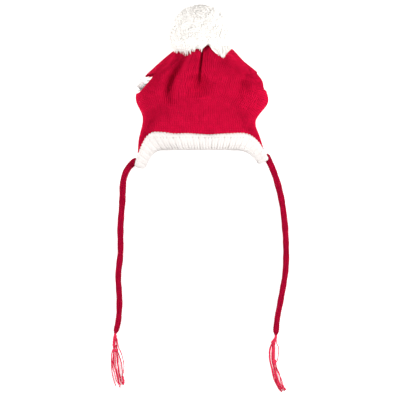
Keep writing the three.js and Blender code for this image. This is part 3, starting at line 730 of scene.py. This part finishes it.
# %% [markdown]
# On the hood a fringe of looser pieces hangs down over the knit, with one pointed lock on the
# right. Their ends follow a line in plan, and each piece lies at the hood's height there.
# %% The fringe and the ball's mesh
# where the fringe ends in plan, from left to right: x and y
fringe_edge = np.array([
    (-28, 38), (-26, 35.3), (-18.5, 34.5), (-13.5, 33.6), (-9.5, 36.6), (-3.5, 38.5), (0.5, 37.5),
    (3.2, 43), (8.2, 44), (9.8, 39), (21.5, 29.8), (27.3, 37), (30, 43)])
fringe, lock_from, lock_x = 160, 9, 21.5
across_hood = np.linspace(-28, 30, fringe) + random.normal(0, 0.3, fringe)
lean = np.where(across_hood > lock_from, 0.5, 0.0) * (lock_x - across_hood)
tip_x = across_hood + lean + random.normal(0, 0.7, fringe)
tip_y = np.interp(tip_x, *fringe_edge.T) + random.normal(0.4, 1.1, fringe)
root_y = np.maximum(tip_y + 1, 40.5)
face_x, face_y, face_z = outer["face"].reshape(-1, 3).T
apart = (face_x - tip_x[:, None]) ** 2 + (face_y - tip_y[:, None]) ** 2
on_hood = face_z[apart.argmin(1)]
lift = random.uniform(0, 1, fringe)
fringe_lines = np.stack([
    np.stack([x, y, on_hood + above + rise * lift], 1) for x, y, above, rise in (
        (across_hood * 0.95, root_y, 2, 7),
        (across_hood + 0.15 * lean, root_y * 0.6 + tip_y * 0.4, 2, 5),
        (tip_x * 0.75 + across_hood * 0.25, root_y * 0.2 + tip_y * 0.8, 1.4, 3),
        (tip_x, tip_y, 0.9, 2))], 1)
fringe_thickness = np.array([0.62, 0.6, 0.52, 0.4]) * random.uniform(0.8, 1.1, (fringe, 1))
ball = put_mesh("ball_yarns", *yarns(np.concatenate([ball_lines, fringe_lines]),
                                     np.concatenate([ball_thickness, fringe_thickness]), 5))

# %% [markdown]
# Under the yarns sits a core, so that no gap looks into an empty ball.
# %% Core of the ball
core_round, core_rings, core_sides = 30.2, 38, 72
polar = np.linspace(0, np.pi, core_rings + 2)[1:-1, None]
turn = np.linspace(0, 2 * np.pi, core_sides, endpoint=False)[None, :]
radius = core_round + 0.2 * np.sin(9 * turn) * np.sin(7 * polar)
core_points = np.stack([radius * np.sin(polar) * np.cos(turn), radius * np.cos(polar),
                        radius * np.sin(polar) * np.sin(turn)], -1).reshape(-1, 3)
count, around = len(core_points), np.arange(core_sides)
core_points = np.concatenate([core_points, [[0, core_round, 0], [0, -core_round, 0.0]]])
core = put_mesh(
    "ball_core", squash_ball(core_points + ball_middle),
    pairs(turn, polar)[np.r_[np.arange(count), 0, 0]],
    grid_faces((core_rings, core_sides), ring=True),
    [fan_faces(around, count, True), fan_faces(count - core_sides + around, count + 1)])

# %% [markdown]
# A tassel is the end of the tie's own yarns: bound with a few turns of yarn, then cut and left
# loose. The loose yarns lie on the table, spread by the locks of the solid.
# %% Strands of the tassels
tassel_routes = {
    # each strand: how many yarns it has, and its route in plan
    "left": [
        (3, [(-86.3, -246), (-87.4, -252), (-87.6, -258), (-88, -263)]),
        (2, [(-85.6, -247), (-84.6, -254), (-85.2, -260), (-86.6, -264)]),
        (1, [(-86, -247), (-83.9, -254), (-82.1, -261), (-78.9, -269), (-77.5, -276),
             (-77.9, -282), (-78.8, -288)]),
        (1, [(-86.8, -258), (-89.1, -263), (-90, -268), (-90.1, -273), (-89.3, -285),
             (-87.5, -293.5), (-85.7, -298)]),
        (2, [(-87, -256), (-87.7, -265), (-87.7, -276), (-85.8, -282), (-83.2, -292),
             (-81.2, -299.5)]),
        (3, [(-86.2, -257), (-84.7, -263.5), (-83.9, -273), (-82.9, -282), (-81.6, -289),
             (-79.8, -295)]),
        (1, [(-85, -262), (-82.9, -266), (-80.4, -274), (-79.2, -282), (-78.9, -288.5)]),
        (1, [(-87.4, -260), (-89, -272), (-88.2, -281), (-86.1, -289), (-82.9, -296),
             (-81.6, -298.6)]),
        (1, [(-86.4, -262), (-86, -272), (-84.6, -284), (-82.4, -294), (-80.6, -297.5)]),
        (4, [(-79, -288), (-78.4, -291), (-78, -294), (-78.6, -296.5)]),
    ],
    "right": [
        (3, [(74.2, -248), (73.8, -252), (70.5, -255), (68.9, -260.5), (68.4, -270.5),
             (69.4, -277.7), (72.3, -287.7), (75.1, -297), (78.4, -302), (80.9, -303.4)]),
        (5, [(74.3, -248), (73.2, -253), (71.6, -257), (71.2, -260.6), (71.8, -270.6),
             (72.8, -280.6), (74.4, -288.4), (77.3, -296.3), (80.1, -299.8), (83.7, -302.1)]),
        (2, [(74.4, -248), (73.6, -253), (72.8, -263.5), (72.6, -272), (73.7, -282),
             (75.9, -291.3), (78.2, -297.7), (79.7, -302.6)]),
        (1, [(74.6, -249), (75.4, -255.5), (76.9, -259.3), (77.1, -265), (75.9, -272),
             (74.1, -275), (74.8, -280)]),
        (2, [(73.8, -272), (75.1, -280.6), (77.5, -285.6), (79.4, -291.3), (81.2, -297),
             (84.2, -302)]),
        (1, [(73.6, -252), (71.2, -256.5), (70, -263.5), (70.6, -272), (72.3, -280),
             (75.9, -288.4), (78.4, -295), (81.3, -299.2)]),
    ],
}
yarn_radius, yarn_sides, tassel_steps = 0.48, 6, 40
tassel_share = np.linspace(0, 1, tassel_steps)


def strand(many, route, lift):
    """A few yarns that lie round one route and wind about it 1.3 times."""
    from_tie = route[0][1] > -249.5
    heights = np.linspace(3.0 if from_tie else 1.6, 0.5, len(route)) + lift
    line = smooth_route(np.column_stack([route, heights]), tassel_steps)
    aside, up = frames_along(line)
    wander = random.normal(0, 0.16, 2)[0]
    wander = wander * np.sin(np.pi * (tassel_share * 5 + random.uniform(0, 2)))
    line = line + aside * wander[:, None]
    turn = (2 * np.pi * (np.arange(many)[:, None] / many + 1.3 * tassel_share)
            + random.uniform(0, 0.6, (many, 1)))
    around = 0 if many == 1 else 1.05 if many < 4 else 1.35
    around = yarn_radius * around * (1 + 0.5 * tassel_share**3)
    lines = (line + aside * (around * np.cos(turn))[..., None]
             + up * (0.8 * around * np.sin(turn))[..., None])
    thickness = yarn_radius * (1 - 0.25 * tassel_share**4) * random.uniform(0.85, 1.1, (many, 1))
    return yarns(lines, thickness, yarn_sides)


print("strands of the left tassel:", len(tassel_routes["left"]))

# %% [markdown]
# A narrow head of eight yarns joins the strands to the tie. On the left one, three turns of yarn
# bind them.
# %% The tassels
def head(side):
    """Eight yarns round a short line that goes on from the tie. They turn by two radians."""
    end = np.array([*tie_points[side][-1], 0.0]) - [0, plan_drop, 0]
    way = unit(end - np.array([*tie_points[side][-2], 0.0]))
    line = smooth_route([end - way * 3 + [0, 0, 3.2], end + [0, 0, 3.2],
                         end + way * 3 + [0, 0, 2.9], [*tassel_routes[side][0][1][2], 2.4]],
                        tassel_steps)
    aside, up = frames_along(line)
    girth = 0.6 * np.interp(tassel_share, [0, 0.3, 0.6, 1], [1.5, 1.3, 1.7, 1.6])[:, None]
    turn = (2 * np.pi * np.arange(8)[:, None] / 8 + 2.0 * tassel_share)[..., None]
    bundle = line + (aside * np.cos(turn) + up * np.sin(turn)) * girth
    return yarns(bundle, np.full(bundle.shape[:2], 0.55), yarn_sides)


def binding():
    """One yarn that winds three times round the left tassel."""
    turn = np.linspace(0, 2 * np.pi * 3, 90)
    line = np.stack([-86.2 + 2.5 * np.cos(turn),
                     -261.2 - np.linspace(0, 2.4, 90) + 0.25 * np.cos(turn),
                     2.4 + 2.1 * np.sin(turn)], 1)
    return yarns(line[None], np.full((1, 90), 0.5), yarn_sides)


def tassel(side):
    """Strands, head and binding as one mesh: their faces count on from each other's points."""
    parts = [strand(many, route, 0.35 * (number % 3))
             for number, (many, route) in enumerate(tassel_routes[side])]
    parts.append(head(side))
    if side == "left":
        parts.append(binding())
    firsts = way_along([len(part[0]) for part in parts]).astype(int)
    points, uv, quads, caps = (np.concatenate([
        part[k] + (first if k > 1 else 0) for part, first in zip(parts, firsts)]) for k in range(4))
    return put_mesh(f"tassel_{side}_yarns", points, uv, quads, caps)


tassel_pieces = {side: tassel(side) for side in sides}


# %% [markdown]
# Knit and yarn are matt, with a high roughness and hardly any gloss. The stitches are drawn from
# the pieces' own coordinates, which count stitches across and along, so that each V follows the
# cloth. The same height that bumps the surface also darkens the grooves, which is painted shade.
# %% Node helpers
class Nodes:
    """A material's node tree with short calls for the nodes that are used here."""

    def __init__(self, name):
        self.material = bpy.data.materials.new(name)
        self.material.use_nodes = True
        self.tree = self.material.node_tree
        self.shader = self.tree.nodes["Principled BSDF"]

    def put(self, socket, value):
        """Links a socket to a socket, or gives it a plain value."""
        if isinstance(value, bpy.types.NodeSocket):
            self.tree.links.new(value, socket)
        else:
            socket.default_value = value

    def set(self, name, value):
        """The same for an input of the shader."""
        self.put(self.shader.inputs[name], value)

    def math(self, operation, *values):
        """The outcome of a sum on sockets or numbers."""
        node = self.tree.nodes.new("ShaderNodeMath")
        node.operation = operation
        for socket, value in zip(node.inputs, values):
            self.put(socket, value)
        return node.outputs[0]

    def stitches(self):
        """The piece's own coordinates: the count across and the count along."""
        node = self.tree.nodes.new("ShaderNodeUVMap")
        node.uv_map = "stitches"
        split = self.tree.nodes.new("ShaderNodeSeparateXYZ")
        self.put(split.inputs[0], node.outputs[0])
        return split.outputs[0], split.outputs[1]

    def noise(self, scale, detail):
        """Soft noise in the piece's own space, about 0.5."""
        place = self.tree.nodes.new("ShaderNodeTexCoord")
        node = self.tree.nodes.new("ShaderNodeTexNoise")
        node.inputs["Scale"].default_value = scale
        node.inputs["Detail"].default_value = detail
        self.put(node.inputs["Vector"], place.outputs["Object"])
        return node.outputs["Fac"]

    def colour(self, share, first, second):
        """The shader's base colour: first at share 0, second at share 1."""
        node = self.tree.nodes.new("ShaderNodeMix")
        node.data_type = "RGBA"
        for number, value in ((0, share), (6, (*first, 1)), (7, (*second, 1))):
            self.put(node.inputs[number], value)
        self.set("Base Color", node.outputs[2])

    def bump(self, height, distance):
        """Bends the surface's way out as if the height stood on it."""
        node = self.tree.nodes.new("ShaderNodeBump")
        node.inputs["Strength"].default_value = 1.0
        node.inputs["Distance"].default_value = distance
        self.put(node.inputs["Height"], height)
        self.set("Normal", node.outputs[0])


# %% [markdown]
# Two recipes serve for every finish: knit with its Vs, and plied yarn.
# %% Knit and yarn
def v_stitch(n, wale, course, lean):
    """0 to 1, high on the two legs of each V: a bell across each leg, times a wave along it."""
    off = n.math("SUBTRACT", n.math("FRACT", wale), 0.5)
    off = n.math("MULTIPLY", n.math("ABSOLUTE", off), 2.0)
    leg = n.math("POWER", n.math("SINE", n.math("MULTIPLY_ADD", off, 2.7, 0.36)), 0.6)
    row = n.math("SUBTRACT", course, n.math("MULTIPLY", off, lean))
    wave = n.math("COSINE", n.math("MULTIPLY", row, 2 * math.pi))
    return n.math("MULTIPLY", leg, n.math("MULTIPLY_ADD", wave, 0.3, 0.7))


def knit_material(name, dark, light, bump, lean=0.55, fleck=0.25):
    """Plain knit: V stitches from the piece's own coordinates, and patches of a softer tone.
    Off the V legs the colour is darker, which is painted shade in the grooves.
    """
    n = Nodes(name)
    height = v_stitch(n, *n.stitches(), lean)
    fuzz = n.noise(1500, 4)
    patch = n.noise(160, 3)
    tone = n.math("ADD", n.math("MULTIPLY", height, 1 - fleck), n.math("MULTIPLY", fuzz, fleck))
    tone = n.math("ADD", tone, n.math("MULTIPLY", n.math("SUBTRACT", patch, 0.5), 0.5))
    # The dark tone, where the V legs are low, is painted shade in the grooves between stitches.
    n.colour(tone, dark, light)
    n.set("Roughness", n.math("MULTIPLY_ADD", fuzz, 0.12, 0.84))
    n.set("Specular IOR Level", 0.03)
    n.bump(n.math("ADD", height, n.math("MULTIPLY", fuzz, 0.35)), bump)
    return n.material


def yarn_material(name, dark, light, bump, painted_glow):
    """Plied yarn: two plies wind round each yarn, and fine fuzz lies over them. White wool lets
    light through; here the yarn instead glows faintly with a light of its own, a painted light
    that lifts the shade between the yarns."""
    n = Nodes(name)
    around, along = n.stitches()
    ply = n.math("ADD", n.math("MULTIPLY", around, 4 * math.pi), n.math("MULTIPLY", along, 4.2))
    ply = n.math("SINE", ply)
    fuzz = n.noise(1800, 4)
    patch = n.noise(90, 2)
    tone = n.math("MULTIPLY_ADD", ply, 0.22, 0.5)
    tone = n.math("MULTIPLY_ADD", n.math("SUBTRACT", fuzz, 0.5), 0.5, tone)
    # The tone follows the plies as well as fuzz and patches; its dark side between the plies is
    # painted shade in the twist's grooves.
    n.colour(n.math("ADD", tone, n.math("SUBTRACT", patch, 0.5)), dark, light)
    n.set("Roughness", n.math("MULTIPLY_ADD", fuzz, 0.1, 0.85))
    n.set("Specular IOR Level", 0.03)
    # A painted glow: above zero, the yarn gives off light of its own colour, which brightens the
    # shade between yarns. The red yarn has none.
    n.set("Emission Color", (*light, 1))
    n.set("Emission Strength", painted_glow)
    n.bump(n.math("ADD", ply, fuzz), bump)
    return n.material


# %% [markdown]
# The hat has three reds and three whites: the hood's fine knit, the deeper red of the ties' knit
# and the brighter one of their loose yarns, the thick white rib, the cuffs, and the soft white of
# the ball's cut yarn. The cuffs are the rib's white made lighter, painted light in the shade under
# the hood's edge, and the ball's yarn has a painted glow. Each has a dark tone, which is painted
# shade for its grooves, and a light one.
# %% Finishes
red_knit = knit_material("red_knit", (0.23, 0.0009, 0.012), (0.75, 0.0042, 0.053), 0.0009)
tie_knit = knit_material("red_cord", (0.12, 0.0004, 0.008), (0.46, 0.002, 0.032), 0.0012)
white_rib = knit_material("white_rib", (0.57, 0.535, 0.52), (0.69, 0.655, 0.635), 0.0004)
# The cuffs' white is lighter than the band's, which is painted light for the shade under the hood's
# edge, where the same yarn lies.
cuff_rib = knit_material("white_cuff_painted_lighter", (0.80, 0.77, 0.755), (0.92, 0.90, 0.885), 0.0003)
# The ball's white yarn glows at 0.3, a painted light, and its core wears the same finish.
white_yarn = yarn_material("white_yarn", (0.60, 0.578, 0.552), (0.65, 0.628, 0.600), 0.00006, 0.3)
red_yarn = yarn_material("red_yarn", (0.58, 0.010, 0.045), (0.92, 0.07, 0.14), 0.00025, 0.0)
print("yarn finishes:", white_yarn.name, red_yarn.name)

# %% [markdown]
# Each piece gets its finish, rides on the imported model's body, and stands for its solid there.
# %% Finish and place the pieces
dressing = [(hood, red_knit, "red_knit", ["crown"]), (band, white_rib, "white_rib", ["brim"]),
            (ball, white_yarn, "white_yarn", ["pompom"]), (core, white_yarn, "white_yarn", [])]
for side in sides:
    dressing += [(cuffs[side], cuff_rib, "white_rib", [f"ear_cuff_{side}"]),
                 (ties[side], tie_knit, "red_yarn", [f"tie_{side}"]),
                 (tassel_pieces[side], red_yarn, "red_yarn", [f"tassel_{side}"])]
for piece, finish, slot_name, nodes in dressing:
    piece.data.materials.append(finish)
    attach(piece, "root")
    if nodes:
        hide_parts(*nodes)
for side in sides:
    line = tie_route(side, 60)
print("pieces:", len(dressing))

# %% [markdown]
# The picture was taken in soft light on plain white. A wide pale floor, a bright world and large
# soft lamps on both sides do that. The lamps stand low, which shades the folds, and a weaker one
# high up towards the mouth lights the band.
# %% Floor, world and lights
far, low = 6, -0.0002
floor_mesh = bpy.data.meshes.new("floor")
floor_mesh.from_pydata([(-far, -far, low), (far, -far, low), (far, far, low), (-far, far, low)],
                       [], [(0, 1, 2, 3)])
floor = add_object("floor", floor_mesh)
paper = Nodes("paper")
paper.colour(paper.noise(3, 3), (0.80, 0.80, 0.80), (0.82, 0.82, 0.82))
paper.set("Roughness", 0.9)
paper.set("Emission Color", (1, 1, 1, 1))
paper.set("Emission Strength", 0.45)
floor_mesh.materials.append(paper.material)

world = bpy.data.worlds.new("soft white")
bpy.context.scene.world = world
world.use_nodes = True
background = world.node_tree.nodes["Background"]
background.inputs[0].default_value = (1, 1, 1, 1)
background.inputs[1].default_value = 0.36


def lamp(name, place, size, power):
    """A square soft lamp that looks at the hat."""
    data = bpy.data.lights.new(name, "AREA")
    data.size = size
    data.energy = power
    made = add_object(name, data)
    made.location = place
    to_hat = Vector((0, -0.08, 0)) - Vector(place)
    made.rotation_euler = to_hat.to_track_quat("-Z", "Y").to_euler()


lamp("left lamp", (-0.95, -0.08, 0.68), 0.5, 14.3)
lamp("right lamp", (0.95, -0.06, 0.68), 0.5, 18)
lamp("top lamp", (0.2, -0.6, 2.1), 1.0, 6)
bpy.context.scene.view_settings.view_transform = "Standard"
print("lamps:", len(bpy.data.lights))
